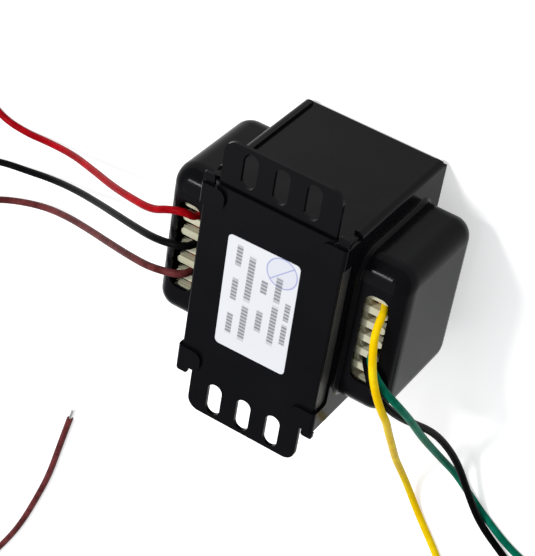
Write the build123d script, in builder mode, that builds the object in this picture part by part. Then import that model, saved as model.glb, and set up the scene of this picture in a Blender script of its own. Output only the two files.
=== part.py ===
from build123d import *
import os
from math import radians, tan

# Audio transformer, mm. X runs along the line of the feet, Y through the stack of laminations and
# both bells, Z from the back of the strap (Z = 0) up to the labelled front.

# Laminated core, of the EI 66 pattern
core_length = 66.0
core_height = 55.0
stack_depth = 46.5
yoke_width = 11.0
core_corner_break = 0.6

# Strap round the back and sides of the core, with its two feet
strap_thickness = 1.2
strap_outer_bend = 1.7
strap_inner_bend = 0.5
strap_edge_break = 0.4
foot_length = 15.4
foot_inset = 3.95
foot_bend = 1.2
foot_corner = 4.0
foot_relief = 0.4
slot_width = 5.0
slot_root_margin = 2.4
slot_tip_margin = 1.4
slot_side_margin = 6.4
slots_per_foot = 3

# Plate on the front of the core
plate_thickness = 1.0
plate_overhang = 1.5
plate_edge_round = 0.6
ear_reach = 2.3
ear_gap = 1.1
ear_corner = 0.9
notch_depth = 0.9

# Paper label on the plate
label_length = 39.8
label_width = 24.2
label_thickness = 0.2
label_corner = 1.5
label_x = 0.9
label_y = 0.8
label_turn = 0.9

# Bobbin, from its tube round the centre leg to the combs at both ends
bobbin_clearance = 0.2
bobbin_wall = 1.2
bobbin_tube_corner = 1.2
bobbin_flange = 1.4
flange_side_gap = 0.4
flange_overhang = 12.05
flange_corner = 1.5
comb_pitch = 5.2
comb_centre = 1.3
comb_end_margin = 1.8
comb_gap_width = 2.7
comb_gap_length = 7.0
rib_width = 2.4
rib_height = 1.2
rib_length = 10.2

# Winding layers, from the innermost outwards, in the thicknesses that they have relative to each
# other. Together they fill the core's window up to a gap beside its outer leg.
winding_side_gap = 0.9
winding_layers = {
    "primary_winding_inner": 3.0,
    "insulation_1": 0.3,
    "secondary_winding": 2.4,
    "insulation_2": 0.3,
    "primary_winding_outer": 2.2,
    "outer_wrap": 0.5,
}

# Drawn end bells
bell_sheet = 1.0
bell_back_gap = 0.5
bell_front_gap = 4.7
dome_end_margin = 6.6
dome_back_margin = 6.5
dome_front_margin = 2.9
dome_depth = 17.25
dome_corner = 7.0
dome_end_round = 6.0
dome_root = 1.5
lip_width = 3.0
lip_outer_bend = 1.9
lip_inner_bend = 0.3
lip_end_margin = 2.0
bell_window_length = 31.6
bell_window_width = 8.0
bell_window_corner = 3.0
bell_window_x = 0.4
bell_window_margin = 4.5
claw_width = 7.0
claw_inset = 0.6
claw_tongue = 8.3
claw_outer_bend = 1.2
claw_inner_bend = 0.2
claw_corner = 2.8
claw_root = 1.4

# Leads, their coils and their tinned ends
lead_diameter = 2.4
lead_seat = 1.7
coil_inner_turn = 12.0
coil_entry = 9.0
coil_tail = 18.0
coil_tail_drop = 1.6
coil_edge_round = 0.9
tip_diameter = 1.2
tip_length = 5.0

# Places that follow from the sizes above
half_core = core_length / 2
half_stack = stack_depth / 2
outer_leg_width = core_length / 6
centre_leg_width = core_length / 3
strap_side = half_core + strap_thickness
foot_reach = strap_side + foot_length
foot_width = stack_depth - 2 * foot_inset
core_back = strap_thickness
core_front = core_back + core_height
split_z = core_front - yoke_width
window_back = core_back + yoke_width
window_height = split_z - window_back
window_width = half_core - outer_leg_width - centre_leg_width / 2
window_x = centre_leg_width / 2 + window_width / 2
plate_front = core_front + plate_thickness
bell_face = half_stack + bell_sheet
lead_radius = lead_diameter / 2

os.makedirs("parts", exist_ok=True)

# E laminations: back yoke and three legs
with BuildPart() as e_laminations:
    with BuildSketch(Plane.XZ) as e_outline:
        with Locations((0, (core_back + split_z) / 2)):
            Rectangle(core_length, split_z - core_back)
        with Locations((0, window_back + window_height / 2)):
            with GridLocations(2 * window_x, 1, 2, 1):
                Rectangle(window_width, window_height, mode=Mode.SUBTRACT)
    extrude(amount=half_stack, both=True)
    back_corners = e_laminations.edges().filter_by(Axis.Y).group_by(Axis.Z)[0]
    fillet(back_corners, core_corner_break)
e_laminations.part.label = "e_laminations"
export_step(e_laminations.part, "parts/e_laminations.step")

# I laminations: front yoke, which lies on the ends of the three legs
with BuildPart() as i_laminations:
    with BuildSketch(Plane.XZ) as i_outline:
        with Locations((0, (split_z + core_front) / 2)):
            Rectangle(core_length, yoke_width)
    extrude(amount=half_stack, both=True)
    front_corners = i_laminations.edges().filter_by(Axis.Y).group_by(Axis.Z)[-1]
    fillet(front_corners, core_corner_break)
i_laminations.part.label = "i_laminations"
export_step(i_laminations.part, "parts/i_laminations.step")

# Strap: one bent strip, narrowed to the feet where it turns outwards
slot_length = foot_length - slot_root_margin - slot_tip_margin
slot_centre = foot_reach - slot_tip_margin - slot_length / 2
slot_pitch = (foot_width - slot_width - 2 * slot_side_margin) / (slots_per_foot - 1)
foot_back = core_front - strap_thickness
relief_z = foot_back - foot_bend - foot_relief
with BuildPart() as mounting_strap:
    with BuildSketch(Plane.XZ) as strap_section:
        with BuildLine():
            Polyline(
                (0, 0),
                (strap_side, 0),
                (strap_side, foot_back),
                (foot_reach, foot_back),
                (foot_reach, core_front),
                (half_core, core_front),
                (half_core, strap_thickness),
                (0, strap_thickness),
                close=True,
            )
        make_face()
        for corner, bend in (
            ((strap_side, 0), strap_outer_bend),
            ((half_core, strap_thickness), strap_inner_bend),
            ((strap_side, foot_back), foot_bend),
            ((half_core, core_front), foot_bend + strap_thickness),
        ):
            fillet(strap_section.vertices().sort_by_distance(corner)[0], bend)
        mirror(about=Plane.YZ)
    extrude(amount=half_stack, both=True)
    with BuildSketch(Plane.XY.offset(relief_z)) as beside_feet:
        Rectangle(2 * foot_reach, stack_depth)
        Rectangle(2 * foot_reach, foot_width, mode=Mode.SUBTRACT)
    extrude(amount=core_front - relief_z, mode=Mode.SUBTRACT)
    with BuildSketch(Plane.XY.offset(core_front)) as foot_slots:
        with GridLocations(2 * slot_centre, slot_pitch, 2, slots_per_foot):
            SlotOverall(slot_length, slot_width)
    extrude(amount=-strap_thickness, mode=Mode.SUBTRACT)
    upright_edges = mounting_strap.edges().filter_by(Axis.Z)
    foot_corners = upright_edges.group_by(Axis.X)[0] + upright_edges.group_by(Axis.X)[-1]
    fillet(foot_corners, foot_corner)
    side_edges = (
        mounting_strap.edges()
        .filter_by(Axis.Z)
        .filter_by(lambda e: abs(abs(e.center().X) - strap_side) < 0.01 and e.length > core_height / 2)
    )
    chamfer(side_edges, strap_edge_break)
mounting_strap.part.label = "mounting_strap"
export_step(mounting_strap.part, "parts/mounting_strap.step")

# Base plate: covers the front yoke and the bends of the strap, with an ear beside each foot corner
plate_half_length = half_core + plate_overhang
ear_end = plate_half_length + ear_reach
ear_start = strap_side
ear_inner_y = foot_width / 2 + ear_gap
with BuildPart() as base_plate:
    with BuildSketch(Plane.XY.offset(core_front)) as plate_outline:
        Rectangle(2 * plate_half_length, stack_depth)
        with GridLocations(ear_start + ear_end, ear_inner_y + bell_face, 2, 2):
            Rectangle(ear_end - ear_start, bell_face - ear_inner_y)
        with GridLocations(2 * plate_half_length, foot_width + ear_gap, 2, 2):
            SlotOverall(2 * notch_depth, ear_gap, mode=Mode.SUBTRACT)
        ear_tips = plate_outline.vertices().filter_by(lambda v: abs(abs(v.X) - ear_end) < 0.01)
        fillet(ear_tips, ear_corner)
    extrude(amount=plate_thickness)
    long_edges = (
        base_plate.edges().filter_by(Axis.X).group_by(Axis.Z)[-1].filter_by(lambda e: e.length > core_length)
    )
    fillet(long_edges, plate_edge_round)
base_plate.part.label = "base_plate"
export_step(base_plate.part, "parts/base_plate.step")

# Label: thin blank sheet, stuck on a little askew
with BuildPart() as label:
    with BuildSketch(Plane.XY.offset(plate_front)) as label_outline:
        with Locations((label_x, label_y)):
            RectangleRounded(label_length, label_width, label_corner, rotation=label_turn)
    extrude(amount=label_thickness)
label.part.label = "label"
export_step(label.part, "parts/label.step")

# Bobbin: tube, two flanges, and a comb of slots and ribs on both ends of the front flange
bobbin_back = window_back + bobbin_clearance
bobbin_front = split_z - bobbin_clearance
bobbin_height = bobbin_front - bobbin_back
bore_x = centre_leg_width + 2 * bobbin_clearance
bore_y = stack_depth + 2 * bobbin_clearance
tube_x = bore_x + 2 * bobbin_wall
tube_y = bore_y + 2 * bobbin_wall
flange_x = core_length - 2 * outer_leg_width - 2 * flange_side_gap
flange_y = stack_depth + 2 * flange_overhang
gap_inner_y = flange_y / 2 - comb_gap_length
gaps_each_way = int((flange_x / 2 - comb_centre - comb_gap_width / 2 - comb_end_margin) // comb_pitch)
gap_places = [
    (comb_centre + comb_pitch * index, side)
    for index in range(-gaps_each_way, gaps_each_way + 1)
    for side in (1, -1)
]
rib_places = [
    (comb_centre + comb_pitch * (index + 0.5), side)
    for index in range(-gaps_each_way - 1, gaps_each_way + 1)
    for side in (1, -1)
]
with BuildPart() as bobbin:
    with BuildSketch(Plane.XY.offset(bobbin_back)) as tube_outline:
        RectangleRounded(tube_x, tube_y, bobbin_tube_corner)
    extrude(amount=bobbin_height)
    for level in (bobbin_back, bobbin_front - bobbin_flange):
        with BuildSketch(Plane.XY.offset(level)) as flange_outline:
            RectangleRounded(flange_x, flange_y, flange_corner)
        extrude(amount=bobbin_flange)
    with BuildSketch(Plane.XY.offset(bobbin_front)) as ribs:
        with Locations([(x, side * (flange_y - rib_length) / 2) for x, side in rib_places]):
            SlotOverall(rib_length, rib_width, rotation=90)
    extrude(amount=rib_height)
    with BuildSketch(Plane.XY.offset(bobbin_front)) as comb:
        with Locations([(x, side * flange_y / 2) for x, side in gap_places]):
            SlotOverall(2 * comb_gap_length, comb_gap_width, rotation=90)
    extrude(amount=-bobbin_flange, mode=Mode.SUBTRACT)
    with BuildSketch(Plane.XY.offset(bobbin_back)) as bore:
        Rectangle(bore_x, bore_y)
    extrude(amount=bobbin_height, mode=Mode.SUBTRACT)
bobbin.part.label = "bobbin"
export_step(bobbin.part, "parts/bobbin.step")

# Windings, insulation and outer wrap: rings round the bobbin's tube, between its flanges
winding_back = bobbin_back + bobbin_flange
winding_front = bobbin_front - bobbin_flange
winding_depth = window_width - bobbin_clearance - bobbin_wall - winding_side_gap
build_up = 0.0
for layer_name, relative_thickness in winding_layers.items():
    layer_thickness = winding_depth * relative_thickness / sum(winding_layers.values())
    with BuildPart() as layer:
        with BuildSketch(Plane.XY.offset(winding_back)) as layer_outline:
            grown = build_up + layer_thickness
            RectangleRounded(tube_x + 2 * grown, tube_y + 2 * grown, bobbin_tube_corner + grown)
            RectangleRounded(
                tube_x + 2 * build_up,
                tube_y + 2 * build_up,
                bobbin_tube_corner + build_up,
                mode=Mode.SUBTRACT,
            )
        extrude(amount=winding_front - winding_back)
    layer.part.label = layer_name
    export_step(layer.part, f"parts/{layer_name}.step")
    build_up += layer_thickness

# Bells: a drawn dome on a flat flange, with lips turned round the strap's sides and two claws
# folded over the base plate. The window lets the leads out of the front of the dome.
dome_length = core_length - 2 * dome_end_margin
flange_back = bell_back_gap
flange_front = core_front - bell_front_gap
dome_back = flange_back + dome_back_margin
dome_front = flange_front - dome_front_margin
dome_middle = (dome_back + dome_front) / 2
dome_height = dome_front - dome_back
dome_end_y = half_stack + dome_depth
claw_x = strap_side - claw_inset - claw_width / 2
claw_front = plate_front + bell_sheet
claw_end = bell_face - claw_tongue
window_y = dome_end_y - bell_window_margin - bell_window_width / 2
inner_end_round = dome_end_round - bell_sheet
for bell_name, side in (("left_bell", 1), ("right_bell", -1)):
    core_face = Plane(origin=(0, side * half_stack, 0), x_dir=(-side, 0, 0), z_dir=(0, side, 0))
    outward = Axis((0, 0, 0), (0, side, 0))
    with BuildPart() as bell:
        with BuildSketch(core_face) as dome_outline:
            with Locations((0, dome_middle)):
                RectangleRounded(dome_length, dome_height, dome_corner)
        extrude(amount=dome_depth)
        fillet(bell.faces().sort_by(outward)[-1].edges(), dome_end_round)
        with BuildSketch(core_face) as flange_outline:
            with Locations((0, (flange_back + flange_front) / 2)):
                Rectangle(2 * (strap_side + bell_sheet - lip_outer_bend), flange_front - flange_back)
        extrude(amount=bell_sheet)
        root_edges = bell.edges().filter_by(
            lambda e: abs(abs(e.center().Y) - bell_face) < 0.01
            and abs(e.center().X) < dome_length / 2 + 0.01
            and dome_back - 0.01 < e.center().Z < dome_front + 0.01
        )
        fillet(root_edges, dome_root)
        with BuildSketch(core_face) as hollow_outline:
            with Locations((0, dome_middle)):
                RectangleRounded(
                    dome_length - 2 * bell_sheet, dome_height - 2 * bell_sheet, dome_corner - bell_sheet
                )
        hollow = extrude(amount=dome_depth - bell_sheet, mode=Mode.PRIVATE)
        hollow = hollow.fillet(inner_end_round, hollow.faces().sort_by(outward)[-1].edges())
        add(hollow, mode=Mode.SUBTRACT)
        mouth_edges = bell.edges().filter_by(
            lambda e: abs(abs(e.center().Y) - half_stack) < 0.01 and abs(e.center().X) < dome_length / 2
            and dome_back < e.center().Z < dome_front
        )
        fillet(mouth_edges, dome_root)
        with BuildSketch(Plane.XY.offset(flange_back + lip_end_margin)) as lipped_section:
            with Locations((0, side * (bell_face - lip_width / 2))):
                Rectangle(2 * (strap_side + bell_sheet), lip_width)
            outer_corners = lipped_section.vertices().filter_by(lambda v: abs(v.Y) > bell_face - 0.01)
            fillet(outer_corners, lip_outer_bend)
            with Locations((0, side * (half_stack - (lip_width - bell_sheet) / 2))):
                Rectangle(2 * strap_side, lip_width - bell_sheet, mode=Mode.SUBTRACT)
            with Locations((0, side * (half_stack + bell_sheet / 2))):
                Rectangle(dome_length + 4 * dome_root, bell_sheet, mode=Mode.SUBTRACT)
            inner_corners = lipped_section.vertices().filter_by(
                lambda v: abs(abs(v.X) - strap_side) < 0.01 and abs(abs(v.Y) - half_stack) < 0.01
            )
            fillet(inner_corners, lip_inner_bend)
        extrude(amount=flange_front - flange_back - 2 * lip_end_margin)
        for claw_side in (1, -1):
            with BuildSketch(Plane.YZ.offset(claw_side * claw_x)) as claw_section:
                with BuildLine():
                    Polyline(
                        (side * half_stack, flange_front - bell_sheet),
                        (side * bell_face, flange_front - bell_sheet),
                        (side * bell_face, claw_front),
                        (side * claw_end, claw_front),
                        (side * claw_end, plate_front),
                        (side * half_stack, plate_front),
                        close=True,
                    )
                make_face()
                for fold, bend in (
                    ((side * bell_face, claw_front), claw_outer_bend),
                    ((side * half_stack, plate_front), claw_inner_bend),
                ):
                    fillet(claw_section.vertices().sort_by_distance(fold)[0], bend)
            extrude(amount=claw_width / 2, both=True)
        tongue_corners = bell.edges().filter_by(Axis.Z).filter_by(
            lambda e: abs(abs(e.center().Y) - claw_end) < 0.01 and e.center().Z > plate_front
        )
        fillet(tongue_corners, claw_corner)
        claw_roots = bell.edges().filter_by(Axis.Y).filter_by(
            lambda e: abs(e.center().Z - flange_front) < 0.01
            and abs(abs(e.center().X) - claw_x) < claw_width / 2 + 0.01
            and abs(e.center().X) < claw_x
        )
        fillet(claw_roots, claw_root)
        with BuildSketch(Plane.XY.offset(dome_front)) as lead_window:
            with Locations((bell_window_x, side * window_y)):
                RectangleRounded(bell_window_length, bell_window_width, bell_window_corner)
        extrude(amount=-dome_end_round, mode=Mode.SUBTRACT)
    bell.part.label = bell_name
    export_step(bell.part, f"parts/{bell_name}.step")

# Leads: each rises from the winding through its gap in the comb, turns out over the bell's front
# and falls to the surface that the transformer lies on. A point of a path is how far it lies from
# the gap along X, how far outwards from it, and its height as a share of the core's front.
lead_gaps = {
    "red": (2, 1),
    "black_left": (0, 1),
    "brown": (-2, 1),
    "yellow": (2, -1),
    "green": (-1, -1),
    "black_right": (-2, -1),
}
lead_paths = {
    "red": [
        (0, 0, 0.84), (0.5, 2.4, 0.895), (-0.1, 7.4, 0.909), (-3.1, 14.2, 0.88), (-7.9, 25.4, 0.771),
        (-15.1, 38.4, 0.6), (-23.7, 54.5, 0.369), (-31.7, 70.5, 0.156), (-37.2, 85, 0.033),
        (-39.5, 96.5, 0), (-38.1, 107, 0), (-31.7, 115.5, 0), (-26.1, 123.5, 0), (-24, 132, 0.002),
    ],
    "black_left": [
        (0, 0, 0.84), (0.3, 2.4, 0.895), (-0.4, 7.6, 0.907), (-2.9, 13.8, 0.865), (-8.3, 24, 0.745),
        (-16.1, 37.5, 0.565), (-26.1, 53.5, 0.338), (-34.5, 69.5, 0.153), (-40.9, 83.5, 0.033),
        (-44.1, 94.5, 0), (-45.7, 104.8, 0), (-48.5, 114.4, 0), (-49.9, 122.6, 0.002),
    ],
    "brown": [
        (0, 0, 0.84), (0.1, 2.4, 0.895), (-0.9, 7.8, 0.905), (-3.9, 14.2, 0.862), (-9.3, 24.4, 0.749),
        (-17.5, 37.8, 0.571), (-28.1, 55, 0.335), (-36.9, 71, 0.145), (-43.3, 84.5, 0.029),
        (-47.7, 96.5, 0), (-52.4, 108, 0), (-60.4, 119, 0), (-74.9, 128, 0), (-96.9, 133.5, 0),
        (-126.9, 136, 0), (-160.9, 134.5, 0), (-190.9, 132.8, 0), (-214.9, 130.6, 0),
        (-230.9, 124.6, 0), (-238.4, 114, 0), (-232.9, 102.4, 0), (-217.9, 93.9, 0), (-201.5, 86.1, 0),
        (-184.9, 80.3, 0), (-166.9, 74.6, 0), (-148.9, 71, 0), (-132.9, 67.6, 0),
    ],
    "yellow": [
        (0, 0, 0.84), (1.1, 2.4, 0.898), (-1.3, 4.6, 0.931), (-7.7, 5.5, 0.945), (-16.3, 6.9, 0.951),
        (-23.7, 9.2, 0.945), (-30.7, 11.3, 0.909), (-39.1, 11.5, 0.804), (-50.7, 9.8, 0.651),
        (-63.2, 8.6, 0.491), (-75.7, 7, 0.327), (-88.7, 6.6, 0.156), (-99.7, 8.2, 0.047),
        (-108.7, 11.4, 0), (-116.7, 17.2, 0), (-123.9, 22.6, 0), (-131.5, 26.6, 0),
        (-138.9, 29, 0.002),
    ],
    "green": [
        (0, 0, 0.822), (-0.3, 2.4, 0.865), (-3.5, 5.4, 0.891), (-7.9, 9.9, 0.896),
        (-11.3, 13.2, 0.869), (-16.5, 15.4, 0.804), (-25.1, 16.7, 0.68), (-37.1, 17.2, 0.509),
        (-49.1, 18, 0.324), (-59.6, 19.6, 0.167), (-68.5, 22.4, 0.044), (-75.5, 27.2, 0),
        (-82.5, 35.8, 0), (-89.3, 45.8, 0), (-93.1, 56.6, 0), (-94.3, 67.6, 0.002),
    ],
    "black_right": [
        (0, 0, 0.818), (-1.7, 2.6, 0.865), (-4.3, 6.4, 0.893), (-8.3, 9.8, 0.873),
        (-13.9, 11.9, 0.796), (-21.3, 13.1, 0.662), (-28.1, 14.6, 0.52), (-36.3, 17.6, 0.349),
        (-45.9, 20.8, 0.215), (-55.3, 24.2, 0.127), (-65.3, 28.2, 0.085), (-74.3, 32.8, 0.06),
        (-81.1, 37, 0.025), (-88.1, 44.2, 0), (-94.3, 52.6, 0.002),
    ],
}
coil_hands = {"red": 1, "black_left": 1, "yellow": 1, "green": -1, "black_right": 1}


def bend_radii(points):
    """Largest tangent arc that the two runs at each corner leave room for."""
    radii = []
    for before, corner, after in zip(points, points[1:], points[2:]):
        run_in = Vector(*corner) - Vector(*before)
        run_out = Vector(*after) - Vector(*corner)
        half_turn = radians(run_in.get_angle(run_out)) / 2
        radii.append(0.45 * min(run_in.length, run_out.length) / tan(half_turn))
    return radii


def end_heading(points):
    """Direction in which a route leaves its last point."""
    return (Vector(*points[-1]) - Vector(*points[-2])).normalized()


lead_routes = {}
for lead_name, (gap, side) in lead_gaps.items():
    gap_x = comb_centre + comb_pitch * gap
    lead_y = gap_inner_y + lead_seat
    lead_points = [(gap_x, side * lead_y, winding_front)]
    for along, outwards, share in lead_paths[lead_name]:
        height = lead_radius + share * (core_front - lead_radius)
        lead_points.append((gap_x + along, side * (lead_y + outwards), height))
    lead_routes[lead_name] = lead_points
    radii = bend_radii(lead_points)
    with BuildPart() as lead:
        with BuildLine() as route:
            FilletPolyline(*lead_points, radius=radii)
        with BuildSketch(Plane(origin=route.line @ 0, z_dir=route.line % 0)):
            Circle(lead_radius)
        sweep()
    print(lead_name, "length", round(route.wire().length, 1), "radii", [round(r, 1) for r in radii])
    lead.part.label = f"lead_{lead_name}"
    export_step(lead.part, f"parts/lead_{lead_name}.step")

# Coils: the unseen length of a lead, two turns wide and two high, drawn as its outer shape, with
# the short straight stretches where the lead comes in and its end goes out
tip_places = {"brown": (Vector(*lead_routes["brown"][-1]), end_heading(lead_routes["brown"]))}
coil_outer_turn = coil_inner_turn + lead_diameter
for lead_name, hand in coil_hands.items():
    lead_end = Vector(*lead_routes[lead_name][-1])
    heading = end_heading(lead_routes[lead_name])
    touch = lead_end + heading * coil_entry
    across = Vector(heading.Y, -heading.X, 0) * hand
    centre = touch + across * coil_outer_turn
    leave = touch + Vector(0, 0, lead_diameter)
    tail_heading = (heading * coil_tail - Vector(0, 0, coil_tail_drop)).normalized()
    with BuildPart() as coil:
        with BuildSketch(Plane(origin=(centre.X, centre.Y, 0))):
            Circle(coil_outer_turn + lead_radius)
            Circle(coil_inner_turn - lead_radius, mode=Mode.SUBTRACT)
        extrude(amount=2 * lead_diameter)
        fillet(coil.edges(), coil_edge_round)
        with BuildSketch(Plane(origin=lead_end, z_dir=heading)):
            Circle(lead_radius)
        extrude(amount=coil_entry)
        with BuildSketch(Plane(origin=leave, z_dir=tail_heading)):
            Circle(lead_radius)
        extrude(amount=coil_tail)
    print("coil", lead_name, "centre", round(centre.X, 1), round(centre.Y, 1))
    coil.part.label = f"coil_{lead_name}"
    export_step(coil.part, f"parts/coil_{lead_name}.step")
    tip_places[lead_name] = (leave + tail_heading * coil_tail, tail_heading)

# Tips: stripped and tinned ends of the strands
for lead_name, (tip_start, tip_heading) in tip_places.items():
    with BuildPart() as tip:
        with BuildSketch(Plane(origin=tip_start, z_dir=tip_heading)):
            Circle(tip_diameter / 2)
        extrude(amount=tip_length)
        fillet(tip.faces().sort_by(Axis(tip_start, tip_heading))[-1].edges(), tip_diameter / 6)
    tip.part.label = f"tip_{lead_name}"
    export_step(tip.part, f"parts/tip_{lead_name}.step")
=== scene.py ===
from math import cos, pi, sin, tau

import bpy
from mathutils import Matrix, Vector


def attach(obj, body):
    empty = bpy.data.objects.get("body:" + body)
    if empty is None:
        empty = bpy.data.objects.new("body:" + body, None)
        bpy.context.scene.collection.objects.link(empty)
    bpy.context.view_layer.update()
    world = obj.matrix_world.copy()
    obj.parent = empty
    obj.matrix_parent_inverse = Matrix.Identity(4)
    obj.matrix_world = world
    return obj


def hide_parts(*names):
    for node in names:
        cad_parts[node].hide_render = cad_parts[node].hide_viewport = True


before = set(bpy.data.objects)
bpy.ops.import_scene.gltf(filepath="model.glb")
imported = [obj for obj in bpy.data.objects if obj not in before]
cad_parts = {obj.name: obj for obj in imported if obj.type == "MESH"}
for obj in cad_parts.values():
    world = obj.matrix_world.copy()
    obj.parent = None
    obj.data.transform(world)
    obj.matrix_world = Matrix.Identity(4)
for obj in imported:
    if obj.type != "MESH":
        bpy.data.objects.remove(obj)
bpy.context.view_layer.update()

# Black paint of the strap, plate and bells: semi-gloss enamel over pressed steel.
# A fine orange peel breaks up its reflections, and dust dulls it in patches.


class Value:
    """A socket in shader maths. Its operators add Math nodes to the same material."""

    def __init__(self, finish, socket):
        self.finish = finish
        self.socket = socket

    def maths(self, operation, *values):
        sockets = {place: value for place, value in enumerate(values)}
        return self.finish.node("ShaderNodeMath", {"operation": operation}, sockets)

    def function(self, operation):
        return self.maths(operation, self)

    def __add__(self, other):
        return self.maths("ADD", self, other)

    def __sub__(self, other):
        return self.maths("SUBTRACT", self, other)

    def __rsub__(self, other):
        return self.maths("SUBTRACT", other, self)

    def __mul__(self, other):
        return self.maths("MULTIPLY", self, other)

    __radd__ = __add__
    __rmul__ = __mul__


class Finish:
    """One material, built node by node."""

    def __init__(self, name):
        self.material = bpy.data.materials.new(name)
        self.material.use_nodes = True
        self.tree = self.material.node_tree
        self.tree.nodes.clear()

    def node(self, kind, settings=None, sockets=None, outlet=0):
        made = self.tree.nodes.new(kind)
        for name, setting in (settings or {}).items():
            setattr(made, name, setting)
        for place, value in (sockets or {}).items():
            if isinstance(value, Value):
                self.tree.links.new(value.socket, made.inputs[place])
            elif isinstance(value, tuple) and made.inputs[place].type == "RGBA":
                made.inputs[place].default_value = (*value, 1.0)
            else:
                made.inputs[place].default_value = value
        return Value(self, made.outputs[outlet])

    def coordinates(self):
        return self.node("ShaderNodeTexCoord", outlet="Object")

    def axes(self, vector):
        split = self.node("ShaderNodeSeparateXYZ", None, {0: vector})
        return [Value(self, split.socket.node.outputs[name]) for name in "XYZ"]

    def noise(self, vector, scale, detail, roughness):
        sockets = {"Vector": vector, "Scale": scale, "Detail": detail, "Roughness": roughness}
        return self.node("ShaderNodeTexNoise", None, sockets)

    def stretched(self, vector, factors):
        return self.node("ShaderNodeMapping", None, {"Vector": vector, "Scale": factors})

    def ramp(self, value, low, high):
        """0 at low and below, 1 at high and above, smooth between."""
        settings = {"interpolation_type": "SMOOTHSTEP"}
        return self.node("ShaderNodeMapRange", settings, {0: value, 1: low, 2: high})

    def inside(self, value, middle, half_width):
        """1 where value lies within half_width of middle, with a soft edge."""
        distance = (value - middle).function("ABSOLUTE")
        return 1.0 - self.ramp(distance, 0.85 * half_width, 1.15 * half_width)

    def blend(self, share, first, second):
        """Colour that goes from first to second as share goes from 0 to 1."""
        sockets = {0: share, 6: first, 7: second}
        return self.node("ShaderNodeMix", {"data_type": "RGBA"}, sockets, outlet=2)

    def bump(self, height, depth):
        return self.node("ShaderNodeBump", None, {"Height": height, "Distance": depth})

    def surface(self, **sockets):
        names = {name.replace("_", " "): value for name, value in sockets.items()}
        shader = self.node("ShaderNodeBsdfPrincipled", None, names)
        output = self.tree.nodes.new("ShaderNodeOutputMaterial")
        self.tree.links.new(shader.socket, output.inputs["Surface"])
        return self.material


def dress(material, *node_names):
    """Gives CAD nodes their finish."""
    for node_name in node_names:
        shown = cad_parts[node_name]
        shown.data.materials.clear()
        shown.data.materials.append(material)


paint = Finish("black_paint")
place = paint.coordinates()
peel = paint.noise(place, 620.0, 2.0, 0.5)
grit = paint.noise(place, 4200.0, 2.0, 0.6)
haze = paint.noise(place, 55.0, 4.0, 0.6)
black_paint = paint.surface(
    Base_Color=paint.blend(haze, (0.0024, 0.0024, 0.0030), (0.0050, 0.0050, 0.0060)),
    Roughness=0.11 + 0.10 * haze,
    IOR=1.13,
    Normal=paint.bump(peel + 0.06 * grit, 0.000015),
)
dress(black_paint, "mounting_strap", "base_plate", "left_bell", "right_bell")

# Core laminations: stacked sheets of silicon steel, seen as fine lines between the painted parts.
# Each sheet differs a little in shade, with a film of varnish over them.
steel = Finish("core_steel")
place = steel.coordinates()
sheets_a_metre = 2000.0
along_stack = steel.axes(place)[1]
sheet_number = (along_stack * sheets_a_metre).function("FLOOR")
sheets = steel.node("ShaderNodeTexWhiteNoise", {"noise_dimensions": "1D"}, {"W": sheet_number})
seam = (along_stack * sheets_a_metre * pi).function("SINE").function("ABSOLUTE")
blotches = steel.noise(place, 150.0, 4.0, 0.6)
core_steel = steel.surface(
    Base_Color=steel.blend(sheets, (0.05, 0.05, 0.055), (0.13, 0.13, 0.135)),
    Metallic=0.85,
    Roughness=0.38 + 0.2 * blotches,
    Normal=steel.bump(seam, 0.00006),
)
dress(core_steel, "e_laminations", "i_laminations")

# Windings: enamelled copper wire, wound round the tube of the bobbin.
# The turns lie side by side from flange to flange, each with a highlight of its own.
copper = Finish("copper_wire")
place = copper.coordinates()
turns_a_metre = 1600.0
up = copper.axes(place)[2]
turn = (up * turns_a_metre * pi).function("SINE").function("ABSOLUTE")
shade = copper.noise(copper.stretched(place, (60.0, 60.0, turns_a_metre)), 1.0, 2.0, 0.5)
copper_wire = copper.surface(
    # painted shade: the enamel's red-brown is darkened for the shadow inside the bell
    Base_Color=copper.blend(shade, (0.12, 0.022, 0.010), (0.26, 0.06, 0.022)),
    Metallic=0.9,
    Roughness=0.26 + 0.1 * shade,
    Coat_Weight=0.5,
    Normal=copper.bump(turn, 0.0002),
)
dress(copper_wire, "primary_winding_inner", "secondary_winding", "primary_winding_outer")

# Insulation between the windings: thin amber film with faint creases round the winding.
film = Finish("insulation_film")
place = film.coordinates()
creases = film.noise(film.stretched(place, (40.0, 40.0, 900.0)), 1.0, 3.0, 0.6)
insulation_film = film.surface(
    Base_Color=film.blend(creases, (0.42, 0.24, 0.06), (0.62, 0.40, 0.14)),
    Roughness=0.18 + 0.15 * creases,
    Normal=film.bump(creases, 0.0001),
)
dress(insulation_film, "insulation_1", "insulation_2")

# Outer wrap: red-brown tape round the finished winding, seen through the gaps of the comb.
tape = Finish("wrap_tape")
place = tape.coordinates()
weave_radians_a_metre = 5200.0  # a thread every 1.2 mm
up = tape.axes(place)[2]
weave = (up * weave_radians_a_metre).function("SINE") * 0.5 + 0.5
mottle = tape.noise(place, 260.0, 4.0, 0.65)
wrap_tape = tape.surface(
    # painted shade: the tape's own red-brown, darkened for the shadow in the gaps under the bell
    Base_Color=tape.blend(mottle, (0.030, 0.006, 0.004), (0.085, 0.018, 0.012)),
    Roughness=0.42 + 0.2 * mottle,
    Normal=tape.bump(weave * 0.4 + mottle, 0.00008),
)
dress(wrap_tape, "outer_wrap")

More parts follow.
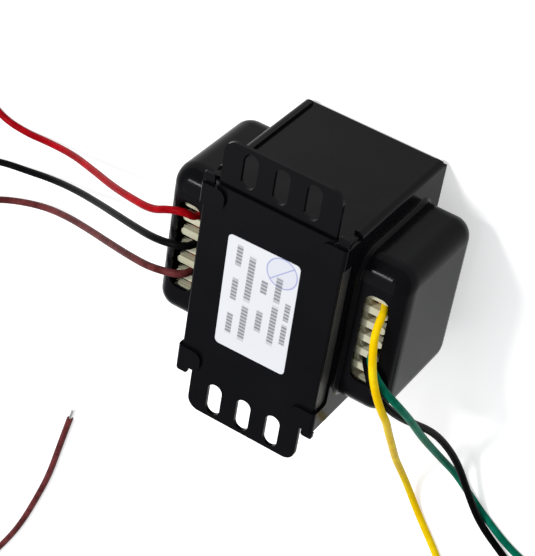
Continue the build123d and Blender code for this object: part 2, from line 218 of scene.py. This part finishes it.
# Bobbin: cream nylon, slightly translucent, with the fine texture of the mould and faint stains.
nylon = Finish("bobbin_plastic")
place = nylon.coordinates()
stain = nylon.noise(place, 90.0, 3.0, 0.55)
grain = nylon.noise(place, 3600.0, 2.0, 0.5)
bobbin_plastic = nylon.surface(
    Base_Color=nylon.blend(stain, (0.46, 0.44, 0.30), (0.68, 0.67, 0.51)),
    Roughness=0.36 + 0.14 * grain,
    Subsurface_Weight=0.15,
    Subsurface_Radius=(0.0012, 0.0008, 0.0005),
    Subsurface_Scale=1.0,
    Normal=nylon.bump(grain, 0.00002),
)
dress(bobbin_plastic, "bobbin")

# Label: matt white paper with its fibres and slightly toned patches. Striped grey bars in rows
# stand for the print, and a blue ring with a line through it for an inspection mark.
paper = Finish("label_paper")
place = paper.coordinates()
fibres = paper.noise(paper.stretched(place, (1.0, 2.5, 1.0)), 1500.0, 4.0, 0.7)
tone = paper.noise(place, 70.0, 2.0, 0.5)
along, across, _ = paper.axes(place)
print_mask = 0.0
# Each row: its place across the label, half its width, and its bars' middles and half lengths
for row_y, row_half_width, bars in (
    (0.0088, 0.00100, ((-0.0101, 0.0036), (0.0025, 0.0038), (0.0147, 0.0035))),
    (0.0043, 0.00110, ((-0.0078, 0.0061), (0.0084, 0.0077))),
    (-0.0006, 0.00105, ((-0.0044, 0.0036), (0.0082, 0.0023))),
    (-0.0052, 0.00105, ((-0.0034, 0.0068), (0.0095, 0.0043))),
    (-0.0091, 0.00090, ((-0.0048, 0.0036), (0.0017, 0.0014), (0.0049, 0.0016))),
):
    for bar_x, bar_half_length in bars:
        print_mask = print_mask + paper.inside(across, row_y, row_half_width) * paper.inside(
            along, bar_x, bar_half_length
        )
stripe_radians_a_metre = 5200.0  # a stripe every 1.2 mm
stripes = (along * stripe_radians_a_metre).function("SINE") * 0.5 + 0.5
ink = print_mask * (0.35 + 0.5 * stripes)
mark_radius = 0.0050
chord_slope = 0.96
mark_x, mark_y = along - 0.0158, across + 0.0055
from_middle = (mark_x * mark_x + mark_y * mark_y).function("SQRT")
disc = 1.0 - paper.ramp(from_middle, 0.96 * mark_radius, 1.04 * mark_radius)
ring = paper.inside(from_middle, mark_radius, 0.00022)
chord = paper.inside(mark_x + chord_slope * mark_y, 0.0, 0.00026) * disc
white_paper = paper.blend(tone, (0.66, 0.67, 0.70), (0.72, 0.73, 0.76))
stamped = paper.blend((ring + chord) * 0.7 + disc * 0.1, white_paper, (0.26, 0.28, 0.56))
label_paper = paper.surface(
    Base_Color=paper.blend(ink, stamped, (0.10, 0.10, 0.11)),
    Roughness=0.5 + 0.15 * fibres,
    Normal=paper.bump(fibres, 0.00002),
)
dress(label_paper, "label")

# Lead insulation: soft PVC in one colour a lead. Its gloss is broken by the faint ripple of the
# stranded wire under it, and by scuffs along its length.
lead_colours = {
    "red": ((0.24, 0.0, 0.003), (0.40, 0.003, 0.008)),
    "black": ((0.0012, 0.0012, 0.0015), (0.003, 0.003, 0.0035)),
    "brown": ((0.070, 0.013, 0.013), (0.155, 0.034, 0.035)),
    "yellow": ((0.86, 0.54, 0.0), (0.95, 0.68, 0.008)),
    "green": ((0.0, 0.105, 0.060), (0.003, 0.18, 0.110)),
}
insulation = {}
for colour, (dark, light) in lead_colours.items():
    pvc = Finish(f"{colour}_insulation")
    place = pvc.coordinates()
    ripple = pvc.noise(place, 520.0, 2.0, 0.5)
    scuff = pvc.noise(place, 130.0, 4.0, 0.65)
    insulation[colour] = pvc.surface(
        Base_Color=pvc.blend(pvc.ramp(scuff, 0.35, 0.65), dark, light),
        Roughness=0.32 + 0.16 * scuff,
        IOR=1.10,
        Normal=pvc.bump(ripple, 0.00008),
    )

# Tips of the leads: stripped strands, twisted and tinned.
tin = Finish("tinned_copper")
place = tin.coordinates()
flow = tin.noise(place, 1400.0, 3.0, 0.6)
tinned_copper = tin.surface(
    Base_Color=tin.blend(flow, (0.50, 0.49, 0.47), (0.72, 0.71, 0.69)),
    Metallic=1.0,
    Roughness=0.24 + 0.2 * flow,
    Normal=tin.bump(flow, 0.0001),
)

# Leads: each rises from the winding through the comb, turns out over the bell's front, falls to the
# surface and ends there in a coil, or at its bare tip. The points are the centre line's controls.
lead_diameter = 0.0024
coil_turns = 4
coil_entry = 0.009
coil_tail = 0.018
coil_tail_drop = 0.0016
inner_turn = 0.012
outer_turn = inner_turn + lead_diameter
steps_a_turn = 16
# Turns of a coil: how many have passed, their radius and the height of the wire's middle
coil_levels = [
    (0.0, outer_turn, 0.0013),
    (0.875, outer_turn, 0.0013),
    (1.0, inner_turn, 0.0013),
    (1.75, inner_turn, 0.0013),
    (1.875, inner_turn, 0.0037),
    (2.5, inner_turn, 0.0037),
    (2.625, outer_turn, 0.0037),
    (3.375, outer_turn, 0.0037),
    (3.5, outer_turn + lead_diameter, 0.0037),
    (coil_turns, outer_turn + lead_diameter, 0.0037),
]


def coil_level(turned):
    """Radius and height of a coil's wire where it has turned so many times."""
    for (start, *first), (stop, *last) in zip(coil_levels, coil_levels[1:]):
        if turned <= stop:
            share = (turned - start) / (stop - start)
            return [low + share * (high - low) for low, high in zip(first, last)]


lead_routes = {
    "red": [
        (0.0117, 0.03, 0.0436), (0.0117, 0.03, 0.0476), (0.0141, 0.0325, 0.0504),
        (0.0132, 0.0374, 0.0513), (0.0086, 0.0442, 0.0496), (0.0038, 0.0554, 0.0436),
        (-0.0034, 0.0684, 0.0342), (-0.012, 0.0845, 0.0215), (-0.02, 0.1005, 0.00978),
        (-0.0255, 0.115, 0.00302), (-0.0278, 0.1265, 0.0012), (-0.0264, 0.137, 0.0012),
        (-0.02, 0.1455, 0.0012), (-0.0144, 0.1535, 0.0012), (-0.0123, 0.162, 0.00131),
    ],
    "black_left": [
        (0.0013, 0.03, 0.0436), (0.0013, 0.03, 0.0474), (0.0016, 0.0324, 0.05042),
        (0.0009, 0.0376, 0.05108), (-0.0016, 0.0438, 0.04877), (-0.007, 0.054, 0.04217),
        (-0.0148, 0.0675, 0.03227), (-0.0248, 0.0835, 0.01979), (-0.0332, 0.0995, 0.00962),
        (-0.0396, 0.1135, 0.00302), (-0.0428, 0.1245, 0.0012), (-0.0444, 0.1348, 0.0012),
        (-0.0472, 0.1444, 0.0012), (-0.0486, 0.1526, 0.00131),
    ],
    "brown": [
        (-0.0091, 0.03, 0.0436), (-0.0091, 0.03, 0.0474), (-0.009, 0.0324, 0.05042),
        (-0.01, 0.0378, 0.05097), (-0.013, 0.0442, 0.04861), (-0.0184, 0.0544, 0.0424),
        (-0.0266, 0.0678, 0.0326), (-0.0372, 0.085, 0.01963), (-0.046, 0.101, 0.00918),
        (-0.0524, 0.1145, 0.00279), (-0.0568, 0.1265, 0.0012), (-0.0615, 0.138, 0.0012),
        (-0.0695, 0.149, 0.0012), (-0.084, 0.158, 0.0012), (-0.106, 0.1635, 0.0012),
        (-0.136, 0.166, 0.0012), (-0.17, 0.1645, 0.0012), (-0.2, 0.1628, 0.0012),
        (-0.224, 0.1606, 0.0012), (-0.24, 0.1546, 0.0012), (-0.2475, 0.144, 0.0012),
        (-0.242, 0.1324, 0.0012), (-0.227, 0.1239, 0.0012), (-0.2106, 0.1161, 0.0012),
        (-0.194, 0.1103, 0.0012), (-0.176, 0.1046, 0.0012), (-0.158, 0.101, 0.0012),
        (-0.142, 0.0976, 0.0012),
    ],
    "yellow": [
        (0.0117, -0.0322, 0.0436), (0.0118, -0.0336, 0.0458), (0.0114, -0.0344, 0.0492),
        (0.0078, -0.0348, 0.0522), (0.003, -0.0356, 0.0534), (-0.0046, -0.037, 0.0538),
        (-0.012, -0.0392, 0.05318), (-0.019, -0.0413, 0.05119), (-0.0274, -0.0415, 0.04542),
        (-0.039, -0.0398, 0.03701), (-0.0515, -0.0386, 0.0282), (-0.064, -0.037, 0.01918),
        (-0.077, -0.0366, 0.00978), (-0.088, -0.0382, 0.00379), (-0.097, -0.0414, 0.0012),
        (-0.105, -0.0472, 0.0012), (-0.1122, -0.0526, 0.0012), (-0.1198, -0.0566, 0.0012),
        (-0.1272, -0.059, 0.00131),
    ],
    "green": [
        (-0.0039, -0.0322, 0.0436), (-0.0036, -0.0334, 0.0456), (-0.0046, -0.0333, 0.0484),
        (-0.0074, -0.0354, 0.0501), (-0.0118, -0.0399, 0.0505), (-0.0152, -0.0432, 0.04899),
        (-0.0204, -0.0454, 0.04542), (-0.029, -0.0467, 0.0386), (-0.041, -0.0472, 0.02919),
        (-0.053, -0.048, 0.01902), (-0.0635, -0.0496, 0.01039), (-0.0724, -0.0524, 0.00362),
        (-0.0794, -0.0572, 0.0012), (-0.0864, -0.0658, 0.0012), (-0.0932, -0.0758, 0.0012),
        (-0.097, -0.0866, 0.0012), (-0.0982, -0.0976, 0.00131),
    ],
    "black_right": [
        (-0.0091, -0.03, 0.0436), (-0.0091, -0.0314, 0.0462), (-0.0096, -0.034, 0.0492),
        (-0.0128, -0.0368, 0.0511), (-0.0172, -0.0398, 0.0494), (-0.023, -0.0419, 0.04498),
        (-0.0304, -0.0431, 0.03761), (-0.0372, -0.0446, 0.0298), (-0.0454, -0.0476, 0.02039),
        (-0.055, -0.0508, 0.01303), (-0.0644, -0.0542, 0.00819), (-0.0744, -0.0582, 0.00588),
        (-0.0834, -0.0628, 0.0045), (-0.0902, -0.067, 0.00258), (-0.0972, -0.0742, 0.0012),
        (-0.1034, -0.0826, 0.00131),
    ],
}
coil_hands = {"red": 1, "black_left": 1, "yellow": 1, "green": -1, "black_right": 1}
for name, route in lead_routes.items():
    controls = [Vector(point) for point in route]
    replaced = [f"lead_{name}"]
    if name in coil_hands:
        heading = (controls[-1] - controls[-2]).normalized()
        touch = controls[-1] + heading * coil_entry
        inwards = Vector((heading.y, -heading.x, 0.0)) * coil_hands[name]
        centre = Vector((touch.x, touch.y, 0.0)) + inwards * outer_turn
        level_heading = Vector((heading.x, heading.y, 0.0))
        # The curve meets the middle of each run between controls, this share of their radius out
        cut_in = cos(pi / steps_a_turn)
        for step in range(coil_turns * steps_a_turn + 1):
            turned = step / steps_a_turn
            radius, height = coil_level(turned)
            spoke = level_heading * sin(tau * turned) - inwards * cos(tau * turned)
            controls.append(centre + spoke * radius / cut_in + Vector((0.0, 0.0, height)))
        tail_start = touch + Vector((0.0, 0.0, lead_diameter))
        tail_heading = (heading * coil_tail - Vector((0.0, 0.0, coil_tail_drop))).normalized()
        controls += [tail_start + tail_heading * (coil_tail * share) for share in (0.5, 0.75, 1.0)]
        replaced.append(f"coil_{name}")
    curve = bpy.data.curves.new(f"wire_{name}", "CURVE")
    curve.dimensions = "3D"
    curve.bevel_depth = lead_diameter / 2
    curve.bevel_resolution = 6
    curve.resolution_u = 8
    curve.use_fill_caps = True
    spline = curve.splines.new("NURBS")
    spline.points.add(len(controls) - 1)
    for control, where in zip(spline.points, controls):
        control.co = (*where, 1.0)
    spline.order_u = 3
    spline.use_endpoint_u = True
    colour = name.split("_")[0]
    curve.materials.append(insulation[colour])
    wire = bpy.data.objects.new(f"wire_{name}", curve)
    bpy.context.scene.collection.objects.link(wire)
    dress(tinned_copper, f"tip_{name}")
    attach(wire, "root")
    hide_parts(*replaced)

# Floor: a white surface that the transformer lies on. It keeps the object's shadow, and to the
# camera, and in reflections, it also glows up to the plain white of the background.
floor_mesh = bpy.data.meshes.new("floor")
floor_reach = 6.0
floor_level = -0.00002
floor_glow = 0.50
corners = ((-1, -1), (1, -1), (1, 1), (-1, 1))
floor_mesh.from_pydata(
    [(x * floor_reach, y * floor_reach, floor_level) for x, y in corners], [], [(0, 1, 2, 3)]
)
floor = bpy.data.objects.new("floor", floor_mesh)
bpy.context.scene.collection.objects.link(floor)
white = Finish("floor_white")
rays = white.node("ShaderNodeLightPath").socket.node.outputs
seen = Value(white, rays["Is Camera Ray"]) + Value(white, rays["Is Glossy Ray"])
seen = seen + Value(white, rays["Is Transmission Ray"])
floor_mesh.materials.append(
    white.surface(
        Base_Color=(0.8, 0.8, 0.8),
        Roughness=0.9,
        Specular_IOR_Level=0.0,
        Emission_Color=(1.0, 1.0, 1.0),
        Emission_Strength=floor_glow * seen,
    )
)

# Light: a plain grey surround, a large soft lamp above and beyond the left bell, and a small one
# high out past the foot at +X, for the bright bars on the bells' front rounding.
world = bpy.data.worlds.new("surround")
bpy.context.scene.world = world
world.use_nodes = True
world.node_tree.nodes["Background"].inputs["Color"].default_value = (0.95, 0.97, 1.0, 1.0)
world.node_tree.nodes["Background"].inputs["Strength"].default_value = 0.5
lit_place = Vector((0.0, 0.0, 0.04))
# Lamps: their place, the way their long side runs, the two sides and the power in watts
for lamp_name, where, long_side, size, power in (
    ("key", Vector((-0.15, 0.35, 1.1)), Vector((1.0, 0.0, 0.0)), (1.2, 1.2), 4.3),
    ("strip", Vector((0.45, 0.355, 0.88)), Vector((0.0, 1.0, 0.0)), (0.18, 0.10), 6.4),
):
    shape = bpy.data.lights.new(lamp_name, "AREA")
    shape.shape = "RECTANGLE"
    shape.size, shape.size_y = size
    shape.energy = power
    lamp = bpy.data.objects.new(lamp_name, shape)
    bpy.context.scene.collection.objects.link(lamp)
    back = (where - lit_place).normalized()
    side = (long_side - back * long_side.dot(back)).normalized()
    aimed = Matrix((side, back.cross(side), back)).transposed().to_4x4()
    lamp.matrix_world = Matrix.Translation(where) @ aimed

# Camera: the photograph's viewpoint, above the foot at +X and beside the right bell.
camera_place = Vector((0.34948, -0.195934, 0.445552))
picture_right = Vector((0.134868, -0.833666, -0.535548))
picture_down = Vector((-0.778029, -0.423788, 0.463762))
picture_ahead = Vector((-0.613581, 0.354125, -0.705772))
lens = bpy.data.cameras.new("camera")
lens.lens = 125.954
lens.sensor_width = 36.0
lens.clip_start = 0.02
camera = bpy.data.objects.new("camera", lens)
bpy.context.scene.collection.objects.link(camera)
facing = Matrix((picture_right, -picture_down, -picture_ahead)).transposed().to_4x4()
camera.matrix_world = Matrix.Translation(camera_place) @ facing
bpy.context.scene.camera = camera
bpy.context.scene.view_settings.view_transform = "Standard"
